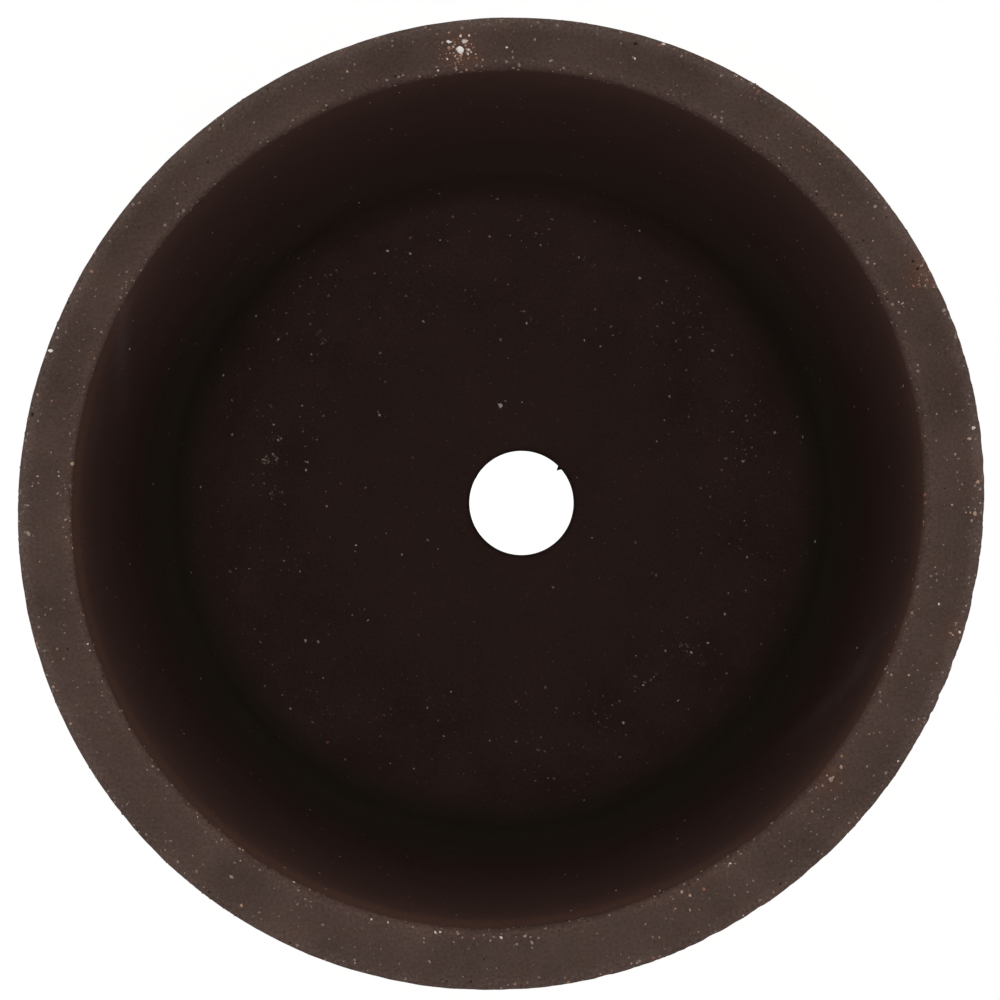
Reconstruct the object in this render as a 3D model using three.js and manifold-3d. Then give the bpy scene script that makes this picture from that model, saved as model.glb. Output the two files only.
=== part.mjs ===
// A flower pot of dark fired clay: one tapered body with a flat rim, pressed a little out of round
// while it was soft and hollowed slightly off centre, with a drain hole pierced through its floor.
// Millimetres, +Z up. The origin is the centre of the base, on the ground.

import * as THREE from 'three';
import { mergeVertices } from 'three/addons/utils/BufferGeometryUtils.js';
import Module from 'manifold-3d';

// Body
const RIM_DIAMETER = 200; // outside, the mean of the longest and the shortest
const BASE_DIAMETER = 177.4; // outside, where the wall's line meets the ground
const HEIGHT = 190;
const WALL_THICKNESS = 12.4; // measured level, the mean of the thick side and the thin side
const FLOOR_THICKNESS = 14;

// Out of round: the longest diameter of the rim less the shortest, fading to nothing at the base
const OUT_OF_ROUND = 5;
const LONG_DIAMETER_BEARING = 52.6; // degrees from +X towards +Y

// The hollow leans: its mouth is off the rim's centre, and the rim is narrower on that side
const MOUTH_OFFSET = 1.2;
const MOUTH_BEARING = 113; // degrees from +X towards +Y

// Drain hole
const HOLE_DIAMETER = 26;
const HOLE_OFFSET = 5.2; // from the centre of the floor towards +X

// Radii of the softened edges
const RIM_OUTER_EDGE = 1.4;
const RIM_INNER_EDGE = 2.2;
const BASE_EDGE = 3;
const FLOOR_CORNER = 24;
const HOLE_EDGE = 1.5;

// Fineness of the facets
const BODY_SEGMENTS = 96;
const HOLE_SEGMENTS = 48;
const ARC_STEPS = 5;

// How far a cutter stands past the face that it cuts through
const CUTTER_OVERRUN = 4;

// Dark unglazed clay, dry and matt
const CLAY_FINISH = { color: '#483934', roughness: 0.92, metalness: 0 };

const rimRadius = RIM_DIAMETER / 2;
const baseRadius = BASE_DIAMETER / 2;
const holeRadius = HOLE_DIAMETER / 2;

const wasm = await Module();
wasm.setup();

const point = (x, y) => new THREE.Vector2(x, y);

// Outer radius of the straight wall at a height above the ground
function wallRadius(height) {
  return THREE.MathUtils.lerp(baseRadius, rimRadius, height / HEIGHT);
}

// The arc that rounds a corner of an outline, as points from one straight side to the other
function roundedCorner(before, corner, after, radius) {
  const back = before.clone().sub(corner).normalize();
  const ahead = after.clone().sub(corner).normalize();
  const bisector = back.clone().add(ahead).normalize();
  const halfAngle = bisector.angleTo(ahead);
  const setback = radius / Math.tan(halfAngle);
  const centre = corner.clone().addScaledVector(bisector, radius / Math.sin(halfAngle));
  const start = corner.clone().addScaledVector(back, setback).sub(centre).angle();
  const end = corner.clone().addScaledVector(ahead, setback).sub(centre).angle();
  const clockwise = back.cross(ahead) > 0;
  return new THREE.EllipseCurve(centre.x, centre.y, radius, radius, start, end, clockwise)
    .getPoints(ARC_STEPS);
}

// Revolve an outline of (radius, height) points about the vertical axis
function revolve(outline, segments) {
  return new THREE.LatheGeometry(outline, segments).rotateX(Math.PI / 2);
}

// The outside, from the axis under the base, up the wall and back to the axis level with the rim
function bodyOutline() {
  const baseCentre = point(0, 0);
  const baseCorner = point(baseRadius, 0);
  const rimCorner = point(rimRadius, HEIGHT);
  const rimCentre = point(0, HEIGHT);
  return [
    baseCentre,
    ...roundedCorner(baseCentre, baseCorner, rimCorner, BASE_EDGE),
    ...roundedCorner(baseCorner, rimCorner, rimCentre, RIM_OUTER_EDGE),
    rimCentre,
  ];
}

// The hollow, from the middle of the floor, flared at the top to leave a rounded edge on the rim
function hollowOutline() {
  const floorCentre = point(0, FLOOR_THICKNESS);
  const floorCorner = point(wallRadius(FLOOR_THICKNESS) - WALL_THICKNESS, FLOOR_THICKNESS);
  const mouthCorner = point(rimRadius - WALL_THICKNESS, HEIGHT);
  const rimOutside = point(rimRadius, HEIGHT);
  const mouthEdge = roundedCorner(floorCorner, mouthCorner, rimOutside, RIM_INNER_EDGE);
  const flare = mouthEdge.at(-1).x;
  return [
    floorCentre,
    ...roundedCorner(floorCentre, floorCorner, mouthCorner, FLOOR_CORNER),
    ...mouthEdge,
    point(flare, HEIGHT + CUTTER_OVERRUN),
    point(0, HEIGHT + CUTTER_OVERRUN),
  ];
}

// A spool whose flared ends leave a rounded edge on both faces of the floor
function holeOutline() {
  const flare = holeRadius + HOLE_EDGE;
  const lowerCorner = point(holeRadius, 0);
  const upperCorner = point(holeRadius, FLOOR_THICKNESS);
  return [
    point(0, -CUTTER_OVERRUN),
    point(flare, -CUTTER_OVERRUN),
    ...roundedCorner(point(flare, 0), lowerCorner, upperCorner, HOLE_EDGE),
    ...roundedCorner(lowerCorner, upperCorner, point(flare, FLOOR_THICKNESS), HOLE_EDGE),
    point(flare, FLOOR_THICKNESS + CUTTER_OVERRUN),
    point(0, FLOOR_THICKNESS + CUTTER_OVERRUN),
  ];
}

// Press the round body oval, more the higher it stands
function pressOutOfRound(geometry) {
  const bearing = THREE.MathUtils.degToRad(LONG_DIAMETER_BEARING);
  const rimSwell = OUT_OF_ROUND / 2 / RIM_DIAMETER;
  const position = geometry.getAttribute('position');
  for (let i = 0; i < position.count; i += 1) {
    const x = position.getX(i);
    const y = position.getY(i);
    const heightShare = position.getZ(i) / HEIGHT;
    const stretch = 1 + rimSwell * heightShare * Math.cos(2 * (Math.atan2(y, x) - bearing));
    position.setXY(i, x * stretch, y * stretch);
  }
  return geometry;
}

// Lean the hollow aside, from nothing at the floor to its full offset at the mouth
function leanAside(geometry) {
  const bearing = THREE.MathUtils.degToRad(MOUTH_BEARING);
  const slope = MOUTH_OFFSET / (HEIGHT - FLOOR_THICKNESS);
  const lean = new THREE.Matrix4()
    .makeShear(0, 0, 0, 0, slope * Math.cos(bearing), slope * Math.sin(bearing));
  return geometry
    .translate(0, 0, -FLOOR_THICKNESS)
    .applyMatrix4(lean)
    .translate(0, 0, FLOOR_THICKNESS);
}

// A closed solid for cutting, without the empty triangles that a revolve leaves on its axis
function toSolid(geometry) {
  geometry.deleteAttribute('normal');
  geometry.deleteAttribute('uv');
  const merged = mergeVertices(geometry);
  const corners = merged.getIndex().array;
  const triVerts = [];
  for (let i = 0; i < corners.length; i += 3) {
    const [a, b, c] = corners.subarray(i, i + 3);
    if (a !== b && b !== c && c !== a) triVerts.push(a, b, c);
  }
  const vertProperties = merged.getAttribute('position').array;
  const mesh = new wasm.Mesh({ numProp: 3, vertProperties, triVerts: Uint32Array.from(triVerts) });
  return new wasm.Manifold(mesh);
}

function toGeometry(solid) {
  const { vertProperties, triVerts } = solid.getMesh();
  const geometry = new THREE.BufferGeometry();
  geometry.setAttribute('position', new THREE.BufferAttribute(vertProperties, 3));
  geometry.setIndex(new THREE.BufferAttribute(triVerts, 1));
  geometry.computeVertexNormals();
  return geometry;
}

function clayPot() {
  const body = toSolid(pressOutOfRound(revolve(bodyOutline(), BODY_SEGMENTS)));
  const hollow = toSolid(leanAside(pressOutOfRound(revolve(hollowOutline(), BODY_SEGMENTS))));
  const hole = toSolid(revolve(holeOutline(), HOLE_SEGMENTS).translate(HOLE_OFFSET, 0, 0));
  const clay = new THREE.MeshStandardMaterial(CLAY_FINISH);
  const pot = new THREE.Mesh(toGeometry(body.subtract(hollow).subtract(hole)), clay);
  pot.name = 'clay_pot';
  return pot;
}

const flowerPot = new THREE.Group();
flowerPot.add(clayPot());

export default flowerPot;
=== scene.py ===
"""Looks of a dark clay flower pot: its skin, the grog in it, the studio and the camera.

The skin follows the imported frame. Lengths held by the classes are millimetres, as on a potter's
drawing, and become metres where a mesh, a lamp or the camera is made.
"""

from __future__ import annotations

import logging
import math
from dataclasses import dataclass
from enum import Enum, auto
from functools import partial

import bmesh
import bpy
import numpy as np
from bpy.types import ID, Material, Mesh, Node, NodeSocket, NodeTree, Object, World
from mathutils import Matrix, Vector, noise


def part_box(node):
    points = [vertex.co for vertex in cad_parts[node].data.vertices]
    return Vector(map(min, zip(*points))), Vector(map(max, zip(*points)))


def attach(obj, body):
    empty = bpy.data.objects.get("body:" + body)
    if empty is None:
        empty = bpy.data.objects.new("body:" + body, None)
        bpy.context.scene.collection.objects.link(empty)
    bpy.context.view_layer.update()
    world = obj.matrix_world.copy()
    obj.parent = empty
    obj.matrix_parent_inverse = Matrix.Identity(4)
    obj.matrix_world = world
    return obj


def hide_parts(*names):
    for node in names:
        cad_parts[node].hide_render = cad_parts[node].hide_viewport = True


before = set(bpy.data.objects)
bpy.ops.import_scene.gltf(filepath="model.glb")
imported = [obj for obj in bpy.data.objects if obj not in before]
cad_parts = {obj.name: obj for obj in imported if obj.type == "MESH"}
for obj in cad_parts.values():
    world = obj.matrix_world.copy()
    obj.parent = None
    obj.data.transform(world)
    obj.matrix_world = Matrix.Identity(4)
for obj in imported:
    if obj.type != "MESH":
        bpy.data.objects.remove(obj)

log = logging.getLogger("flower_pot")

MM = 0.001
NODE = "clay_pot"
BODY = "root"

Band = tuple[float, float, float, float]


def linear(colour: str) -> tuple[float, float, float, float]:
    """Turn an sRGB hex colour into the linear one that the shaders use.

    Args:
        colour: The colour as "#RRGGBB".

    Returns:
        Linear red, green, blue and an alpha of 1.
    """
    channels = [int(colour[i:i + 2], 16) / 255 for i in (1, 3, 5)]
    red, green, blue = (
        c / 12.92 if c <= 0.04045 else ((c + 0.055) / 1.055) ** 2.4 for c in channels
    )
    return red, green, blue, 1.0


def add_node(tree: NodeTree, kind: str, inputs: dict | None = None, **settings: object) -> Node:
    """Add one node to a tree, set it up and link it.

    Args:
        tree: The node tree that gets the node.
        kind: Blender's name for the kind of node.
        inputs: Socket names or numbers, each with a value or the output that feeds it.
        settings: Settings of the node itself.

    Returns:
        The new node.
    """
    node = tree.nodes.new(kind)
    for name, value in settings.items():
        setattr(node, name, value)
    for socket, value in (inputs or {}).items():
        if isinstance(value, NodeSocket):
            tree.links.new(value, node.inputs[socket])
        else:
            node.inputs[socket].default_value = value
    return node


def bare_tree(owner: Material | World) -> NodeTree:
    """Give the emptied node tree of a new material or sky.

    Args:
        owner: The material or the sky.

    Returns:
        Its node tree, without a node.
    """
    owner.use_nodes = True
    owner.node_tree.nodes.clear()
    return owner.node_tree


def set_in_scene(name: str, data: ID) -> Object:
    """Make an object of a mesh, a lamp or a camera, and set it in the scene.

    Args:
        name: The object's name.
        data: What it shows.

    Returns:
        The object.
    """
    made = bpy.data.objects.new(name, data)
    bpy.context.scene.collection.objects.link(made)
    return made


def smooth_step(low: float, high: float, value: np.ndarray) -> np.ndarray:
    """Rise smoothly from 0 at low to 1 at high, where low may be the larger one.

    Args:
        low: Where the result is 0.
        high: Where the result is 1.
        value: The values to look up.

    Returns:
        The share for each value.
    """
    share = np.clip((value - low) / (high - low), 0, 1)
    return share * share * (3 - 2 * share)


def band(limits: Band, value: np.ndarray) -> np.ndarray:
    """Rise smoothly from 0 to 1, stay there, and fall back to 0.

    Args:
        limits: Where the rise starts and ends, then where the fall starts and ends.
        value: The values to look up.

    Returns:
        The share for each value.
    """
    start, full, last, end = limits
    return smooth_step(start, full, value) * smooth_step(end, last, value)


def lumps(points: np.ndarray, size: float, seed: float) -> np.ndarray:
    """Smooth noise from about -1 to 1 at points in space.

    Args:
        points: Positions, with x, y and z along the last axis.
        size: How wide a lump is, in the points' own unit.
        seed: A shift that gives other lumps.

    Returns:
        The noise at each point.
    """
    shift = Vector((seed, -seed, 2 * seed))
    flat = [noise.noise(Vector(p) / size + shift) for p in points.reshape(-1, 3)]
    return np.array(flat).reshape(points.shape[:-1])


class Zone(Enum):
    """Bands of the clay's skin, in the order that the section passes them."""

    BASE = auto()
    BASE_EDGE = auto()
    OUTER_WALL = auto()
    OUTER_ARRIS = auto()
    RIM = auto()
    INNER_ARRIS = auto()
    INNER_WALL = auto()
    FLOOR_CORNER = auto()
    FLOOR = auto()
    HOLE = auto()


RIM_ZONES = (Zone.OUTER_ARRIS, Zone.RIM, Zone.INNER_ARRIS)
FLOOR_ZONES = (Zone.FLOOR_CORNER, Zone.FLOOR)


class Grog(Enum):
    """Kinds of crushed grain in the clay, each with its colour."""

    DUSTY = "#64564E"
    PALE = "#968379"
    WHITE = "#D2C5BA"
    CHALK = "#F0ECE6"
    TAN = "#A98B77"
    RUST = "#8A5F4C"


@dataclass(frozen=True)
class Mark:
    """A grain that the eye picks out, placed by its distance right of and above the pot's axis."""

    x: float
    y: float
    size: float
    grog: Grog


@dataclass(frozen=True)
class Cluster:
    """A group of small grains round a place."""

    x: float
    y: float
    spread: float
    count: int
    grog: Grog


@dataclass(frozen=True)
class Grain:
    """One grain in the skin: its place, the way that the skin faces there, its width and its kind."""

    place: np.ndarray
    facing: np.ndarray
    width: float
    grog: Grog


@dataclass(frozen=True)
class Patch:
    """A small pit or soft stain in the rim, placed as a Mark is."""

    x: float
    y: float
    size: float


@dataclass(frozen=True)
class SheenSmear:
    """A faint pale smear of painted sheen on the inner wall, at a bearing in degrees and a height.

    Its slope is how far it climbs for each millimetre that it runs round the wall.
    """

    bearing: float
    height: float
    slope: float
    length: float
    width: float
    strength: float


# Several of these tints are painted light and shade: the lower inside's tone, the dark corner, the near lip
# and bore light, and the pale sheen
TINTS = ("inside", "foot", "floor", "corner", "handled", "rubbed", "rust_and_painted_light", "dusty")
RIM_MARKS = (
    Mark(-8.4, 93.6, 2.0, Grog.CHALK),
    Mark(-10.6, 95.0, 1.2, Grog.CHALK),
    Mark(-7.5, 95.0, 1.4, Grog.WHITE),
    Mark(-8.4, 96.1, 0.7, Grog.WHITE),
    Mark(-6.6, 96.2, 0.7, Grog.WHITE),
    Mark(-9.8, 92.6, 0.7, Grog.PALE),
    Mark(-7.1, 92.6, 0.8, Grog.PALE),
    Mark(1.1, 93.8, 0.7, Grog.WHITE),
    Mark(6.9, 95.4, 0.7, Grog.PALE),
    Mark(10.2, 91.0, 0.8, Grog.PALE),
    Mark(3.6, 89.3, 0.6, Grog.PALE),
    Mark(18.4, 88.5, 0.7, Grog.TAN),
    Mark(27.5, 91.5, 0.7, Grog.WHITE),
    Mark(33.4, 94.5, 0.9, Grog.WHITE),
    Mark(32.6, 94.2, 0.9, Grog.RUST),
    Mark(37.1, 92.0, 0.7, Grog.PALE),
    Mark(76.8, 61.1, 0.8, Grog.PALE),
    Mark(82.4, 41.2, 0.8, Grog.TAN),
    Mark(91.0, 39.7, 0.8, Grog.PALE),
    Mark(97.0, 15.5, 1.1, Grog.WHITE),
    Mark(96.2, 13.4, 0.9, Grog.TAN),
    Mark(97.3, -2.0, 1.0, Grog.TAN),
    Mark(87.1, 1.9, 1.0, Grog.RUST),
    Mark(87.3, 0.2, 0.8, Grog.RUST),
    Mark(67.8, -56.5, 1.3, Grog.PALE),
    Mark(41.7, -79.2, 1.0, Grog.RUST),
    Mark(4.8, -88.8, 0.9, Grog.PALE),
    Mark(6.1, -89.0, 0.6, Grog.PALE),
    Mark(3.2, -90.5, 0.7, Grog.PALE),
    Mark(0.0, -89.1, 0.8, Grog.WHITE),
    Mark(-2.2, -89.8, 0.7, Grog.PALE),
    Mark(-9.7, -90.1, 0.6, Grog.PALE),
    Mark(-12.5, -88.0, 0.75, Grog.WHITE),
    Mark(-13.5, -88.1, 0.6, Grog.WHITE),
    Mark(-14.7, -94.1, 0.6, Grog.PALE),
    Mark(-55.4, -76.7, 1.2, Grog.PALE),
    Mark(-53.4, -82.6, 0.9, Grog.TAN),
    Mark(-97.2, -6.1, 1.2, Grog.PALE),
    Mark(-88.2, 8.3, 1.2, Grog.TAN),
    Mark(-97.2, 17.5, 0.9, Grog.RUST),
    Mark(-92.7, 31.5, 1.3, Grog.CHALK),
)
FLOOR_MARKS = (
    Mark(-0.1, 24.2, 1.6, Grog.CHALK),
    Mark(-28.4, 21.3, 0.9, Grog.PALE),
    Mark(-22.4, 65.8, 1.2, Grog.RUST),
    Mark(-18.3, -9.2, 0.9, Grog.TAN),
    Mark(-67.2, -17.0, 1.2, Grog.RUST),
    Mark(-42.9, -59.1, 1.2, Grog.RUST),
    Mark(-44.6, -34.0, 1.0, Grog.WHITE),
    Mark(43.2, 27.4, 0.9, Grog.WHITE),
    Mark(56.7, -27.9, 0.8, Grog.WHITE),
    Mark(50.8, -34.0, 0.8, Grog.CHALK),
    Mark(47.4, -37.2, 1.0, Grog.CHALK),
    Mark(41.0, -36.9, 0.7, Grog.WHITE),
    Mark(35.5, -45.4, 0.8, Grog.CHALK),
    Mark(45.3, -27.8, 0.8, Grog.PALE),
    Mark(-56.6, 19.6, 0.7, Grog.CHALK),
    Mark(-49.5, 24.3, 0.7, Grog.WHITE),
    Mark(-48.5, 20.9, 0.6, Grog.PALE),
    Mark(-42.5, 20.9, 0.7, Grog.PALE),
    Mark(-48.2, 10.2, 0.6, Grog.CHALK),
    Mark(-46.1, 9.9, 0.6, Grog.WHITE),
    Mark(-47.0, 8.1, 0.7, Grog.CHALK),
    Mark(-45.3, 2.9, 0.7, Grog.WHITE),
    Mark(-53.9, -0.3, 0.7, Grog.PALE),
    Mark(-66.7, 17.0, 0.8, Grog.WHITE),
)
FLOOR_CLUSTERS = (
    Cluster(-57.6, 10.9, 1.1, 34, Grog.DUSTY),
    Cluster(-57.6, 10.9, 0.7, 12, Grog.WHITE),
    Cluster(-57.4, 11.0, 0.8, 12, Grog.TAN),
    Cluster(-55.8, 16.0, 0.8, 16, Grog.DUSTY),
    Cluster(-55.8, 16.0, 0.8, 5, Grog.WHITE),
    Cluster(-56.2, 1.8, 0.9, 16, Grog.DUSTY),
    Cluster(-56.2, 1.8, 0.8, 6, Grog.PALE),
    Cluster(-60.0, 5.2, 1.6, 6, Grog.PALE),
    Cluster(-60.3, 23.1, 1.8, 5, Grog.PALE),
    Cluster(-44.6, 41.3, 1.0, 18, Grog.DUSTY),
    Cluster(-44.6, 41.3, 0.8, 7, Grog.PALE),
    Cluster(-48.9, 54.0, 5.0, 24, Grog.PALE),
    Cluster(-27.0, 57.0, 5.0, 18, Grog.DUSTY),
    Cluster(60.3, 13.3, 2.2, 12, Grog.PALE),
    Cluster(60.9, 22.5, 3.5, 14, Grog.PALE),
    Cluster(46.6, 45.0, 4.0, 20, Grog.PALE),
    Cluster(45.8, -36.2, 1.3, 22, Grog.DUSTY),
    Cluster(45.8, -36.2, 1.0, 7, Grog.PALE),
    Cluster(49.8, -39.0, 0.8, 8, Grog.DUSTY),
    Cluster(49.8, -30.2, 0.9, 7, Grog.DUSTY),
    Cluster(39.1, -43.0, 0.8, 8, Grog.DUSTY),
    Cluster(34.0, -45.4, 2.4, 9, Grog.PALE),
    Cluster(25.0, -51.7, 3.0, 18, Grog.PALE),
    Cluster(6.0, -61.0, 5.0, 16, Grog.PALE),
    Cluster(-70.3, -39.1, 1.8, 8, Grog.DUSTY),
)
RIM_CLUSTERS = (
    Cluster(-8.5, 92.6, 1.8, 40, Grog.TAN),
    Cluster(-8.5, 92.4, 2.2, 44, Grog.RUST),
    Cluster(-8.3, 92.4, 1.8, 16, Grog.WHITE),
    Cluster(87.0, 46.9, 1.5, 20, Grog.TAN),
    Cluster(87.2, 46.5, 1.9, 24, Grog.RUST),
    Cluster(53.0, 85.2, 1.2, 10, Grog.RUST),
    Cluster(66.5, 70.5, 2.4, 12, Grog.RUST),
    Cluster(38.0, -79.5, 3.0, 18, Grog.TAN),
    Cluster(66.0, -60.0, 4.0, 16, Grog.TAN),
    Cluster(97.0, -2.5, 4.5, 26, Grog.TAN),
    Cluster(97.2, 5.5, 3.0, 14, Grog.PALE),
    Cluster(94.0, -26.5, 1.4, 10, Grog.TAN),
    Cluster(-90.8, 3.0, 4.5, 12, Grog.PALE),
    Cluster(-2.0, -89.6, 6.0, 14, Grog.PALE),
)
STREWN = {
    Zone.RIM: 170,
    Zone.OUTER_ARRIS: 620,
    Zone.INNER_ARRIS: 330,
    Zone.FLOOR: 110,
    Zone.FLOOR_CORNER: 230,
    Zone.INNER_WALL: 760,
    Zone.OUTER_WALL: 520,
    Zone.BASE_EDGE: 20,
}
# Painted sheen: pale smears on the upper inner wall
SHEEN_SMEARS = (
    SheenSmear(-29.0, 146.0, 1.3, 17.0, 9.0, 0.32),
    SheenSmear(158.0, 170.0, -2.1, 10.0, 8.0, 0.3),
)
PITS = (
    Patch(27.6, 94.5, 0.4),
    Patch(84.6, 49.8, 0.26),
    Patch(85.6, 48.3, 0.32),
    Patch(-3.6, -93.6, 0.2),
    Patch(-11.2, -98.0, 0.22),
    Patch(-6.3, -98.2, 0.26),
)
STAINS = (
    Patch(-8.5, 93.2, 3.6),
    Patch(86.7, 47.2, 3.4),
    Patch(94.0, -26.5, 3.0),
    Patch(67.8, -56.5, 2.6),
)


@dataclass(frozen=True)
class Dots:
    """Dots in the clay: their colour, distance apart and largest radius, and the share of them kept."""

    colour: str
    spacing: float
    radius: float
    share: float


@dataclass(frozen=True)
class FiredClay:
    """Unglazed iron-rich earthenware, turned smooth while damp and fired dark.

    It is redder in the shelter of the inside, and rubbed a little lighter along both arrises of
    the rim. Some of its tints are painted light and shade: a dark painted shade in the floor's
    corner and in a band of the inner wall, a lighter, greyer lower inside, lighter paint under the
    near lip, a lit crescent in the near bore, pale smears of painted sheen on the upper wall and
    dark painted pits. Sizes are millimetres.
    """

    outside: str = "#453732"
    inside: str = "#402E2A"
    # Painted light and shade: a lighter, greyer tone over the lower inside, setting how its shade falls
    foot: str = "#423930"
    floor: str = "#43322E"
    # Painted shade: darkens the floor's corner and a band of the inner wall
    corner: str = "#2C1F1A"
    handled: str = "#54433D"
    rubbed: str = "#655650"
    # Rust on the rim; the same colour is also painted light under the near lip and in the near bore
    rust_and_painted_light: str = "#6B4029"
    # Painted sheen: a pale grey laid in smears on the upper inner wall
    dusty: str = "#5E5553"
    blotch: str = "#52372C"
    specks: Dots = Dots("#74665E", 1.3, 0.23, 0.75)
    flecks: Dots = Dots("#85644F", 2.8, 0.24, 0.5)
    # Painted shade: the dark colour laid in pinholes and pits, which the bump also sinks
    pinholes: Dots = Dots("#261A16", 2.4, 0.2, 0.5)
    roughness: float = 0.92
    specular: float = 0.02
    sand_size: float = 0.65  # finer in the real clay, and drawn this coarse so that it shows
    sand_swing: float = 0.18
    cloud_size: float = 16.0
    cloud_swing: float = 0.17
    blotch_size: float = 5.0
    blotch_share: float = 0.16
    raggedness: float = 0.5
    turning: float = 2.5
    turning_run: float = 0.03  # how fast the turning lines change round the pot, against upwards
    relief: float = 0.12
    pit_level: float = 189.95

    def material(self) -> Material:
        """Build the clay's shader.

        Returns:
            The material.
        """
        # Dry and unglazed: the eye gets an even chocolate brown with a sandy tooth and no shine
        clay = bpy.data.materials.new("unglazed_fired_clay")
        tree = bare_tree(clay)
        add = partial(add_node, tree)
        metres = add("ShaderNodeTexCoord").outputs["Object"]
        place = add("ShaderNodeVectorMath", {0: metres, "Scale": 1 / MM}, operation="SCALE").outputs[0]
        clouds, blotches, sand = (
            add(
                "ShaderNodeTexNoise",
                {"Vector": place, "Scale": 1 / size, "Detail": detail, "Roughness": 0.6},
            ).outputs["Fac"]
            for size, detail in ((self.cloud_size, 4.0), (self.blotch_size, 2.0), (self.sand_size, 2.0))
        )
        grit = add("ShaderNodeAttribute", attribute_name="gritty").outputs["Fac"]
        spread = {"Value": grit, "From Min": 0.5, "To Min": 0.25}
        patchy = add("ShaderNodeMapRange", spread).outputs["Result"]
        spread = {"Value": blotches, "From Min": 0.5, "From Max": 0.75, "To Max": self.blotch_share}
        reddened = add("ShaderNodeMapRange", spread).outputs["Result"]
        reddened = add("ShaderNodeMath", {0: reddened, 1: patchy}, operation="MULTIPLY").outputs[0]
        # Some of these tints lay painted light and shade over the clay, not colour of its own
        layers = [
            (add("ShaderNodeAttribute", attribute_name=name).outputs["Fac"], getattr(self, name))
            for name in TINTS
        ]
        colour = self.lay_over(tree, linear(self.outside), [*layers, (reddened, self.blotch)])
        for value, reach, share in ((clouds, self.cloud_swing, patchy), (sand, self.sand_swing, grit)):
            spread = {"Value": value, "From Min": 0.3, "From Max": 0.7, "To Min": -reach, "To Max": reach}
            swing = add("ShaderNodeMapRange", spread).outputs["Result"]
            times = add("ShaderNodeMath", {0: swing, 1: share, 2: 1.0}, operation="MULTIPLY_ADD").outputs[0]
            colour = add("ShaderNodeVectorMath", {0: colour, "Scale": times}, operation="SCALE").outputs[0]
        coarse = {"Vector": place, "Scale": 1 / self.raggedness, "Detail": 1.0}
        broken = add("ShaderNodeTexNoise", coarse).outputs["Color"]
        shifted = {0: broken, 1: (self.raggedness,) * 3, 2: place}
        place = add("ShaderNodeVectorMath", shifted, operation="MULTIPLY_ADD").outputs[0]
        pits = self.pits(tree, place, grit)
        layers = [(self.dots(tree, place, grit, dots), dots.colour) for dots in (self.specks, self.flecks)]
        # The pits are painted dark as well: painted shade in their hollows
        colour = self.lay_over(tree, colour, [*layers, (pits, self.pinholes.colour)])
        round_the_pot = {0: place, 1: (self.turning_run, self.turning_run, 1.0)}
        level = add("ShaderNodeVectorMath", round_the_pot, operation="MULTIPLY").outputs[0]
        lines = {"Vector": level, "Scale": 1 / self.turning, "Detail": 2.0}
        turned = add("ShaderNodeTexNoise", lines).outputs["Fac"]
        tooth = add("ShaderNodeMath", {0: sand, 1: turned}, operation="ADD").outputs[0]
        height = add("ShaderNodeMath", {0: tooth, 1: pits}, operation="SUBTRACT").outputs[0]
        relief = add("ShaderNodeBump", {"Height": height, "Strength": 0.5, "Distance": self.relief * MM})
        shader = add(
            "ShaderNodeBsdfPrincipled",
            {
                "Base Color": colour,
                "Roughness": self.roughness,
                "Specular IOR Level": self.specular,
                "Normal": relief.outputs["Normal"],
            },
        )
        add("ShaderNodeOutputMaterial", {"Surface": shader.outputs["BSDF"]})
        return clay

    @staticmethod
    def lay_over(tree: NodeTree, colour: object, layers: list[tuple[NodeSocket, str]]) -> NodeSocket:
        """Lay tints over a colour, one after another, each by its own mask.

        Args:
            tree: The material's tree.
            colour: The colour below.
            layers: The mask and the sRGB colour of each layer.

        Returns:
            The colour on top.
        """
        for mask, tint in layers:
            inputs = {0: mask, 6: colour, 7: linear(tint)}
            colour = add_node(tree, "ShaderNodeMix", inputs, data_type="RGBA").outputs[2]
        return colour

    @staticmethod
    def dots(tree: NodeTree, place: NodeSocket, grit: NodeSocket, dots: Dots) -> NodeSocket:
        """Scatter small round dots through the clay, so that its skin cuts some of them.

        Args:
            tree: The material's tree.
            place: Position in millimetres.
            grit: How gritty the skin is, which scales the dots.
            dots: The kind of dots.

        Returns:
            1 in a dot and 0 outside.
        """
        cells = add_node(tree, "ShaderNodeTexVoronoi", {"Vector": place, "Scale": 1 / dots.spacing})
        chance = add_node(tree, "ShaderNodeSeparateColor", {0: cells.outputs["Color"]}).outputs[0]
        full = dots.radius / dots.spacing
        limits = {"Value": chance, "From Max": dots.share, "To Min": full, "To Max": 0.0}
        reach = add_node(tree, "ShaderNodeMapRange", limits).outputs["Result"]
        scaled = add_node(tree, "ShaderNodeMath", {0: reach, 1: grit}, operation="MULTIPLY").outputs[0]
        within = {0: cells.outputs["Distance"], 1: scaled}
        return add_node(tree, "ShaderNodeMath", within, operation="LESS_THAN").outputs[0]

    def pits(self, tree: NodeTree, place: NodeSocket, grit: NodeSocket) -> NodeSocket:
        """Pock the clay with pinholes, and with the larger pits that the eye picks out on the rim.

        Args:
            tree: The material's tree.
            place: Position in millimetres.
            grit: How gritty the skin is.

        Returns:
            1 in a pit and 0 outside.
        """
        pits = self.dots(tree, place, grit, self.pinholes)
        shift = self.raggedness / 2  # the mean of what breaks up the places
        for pit in PITS:
            ends = {0: place, 1: (pit.x + shift, pit.y + shift, self.pit_level)}
            away = add_node(tree, "ShaderNodeVectorMath", ends, operation="DISTANCE").outputs["Value"]
            within = {0: away, 1: pit.size}
            inside = add_node(tree, "ShaderNodeMath", within, operation="LESS_THAN").outputs[0]
            pits = add_node(tree, "ShaderNodeMath", {0: pits, 1: inside}, operation="MAXIMUM").outputs[0]
        return pits


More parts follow.
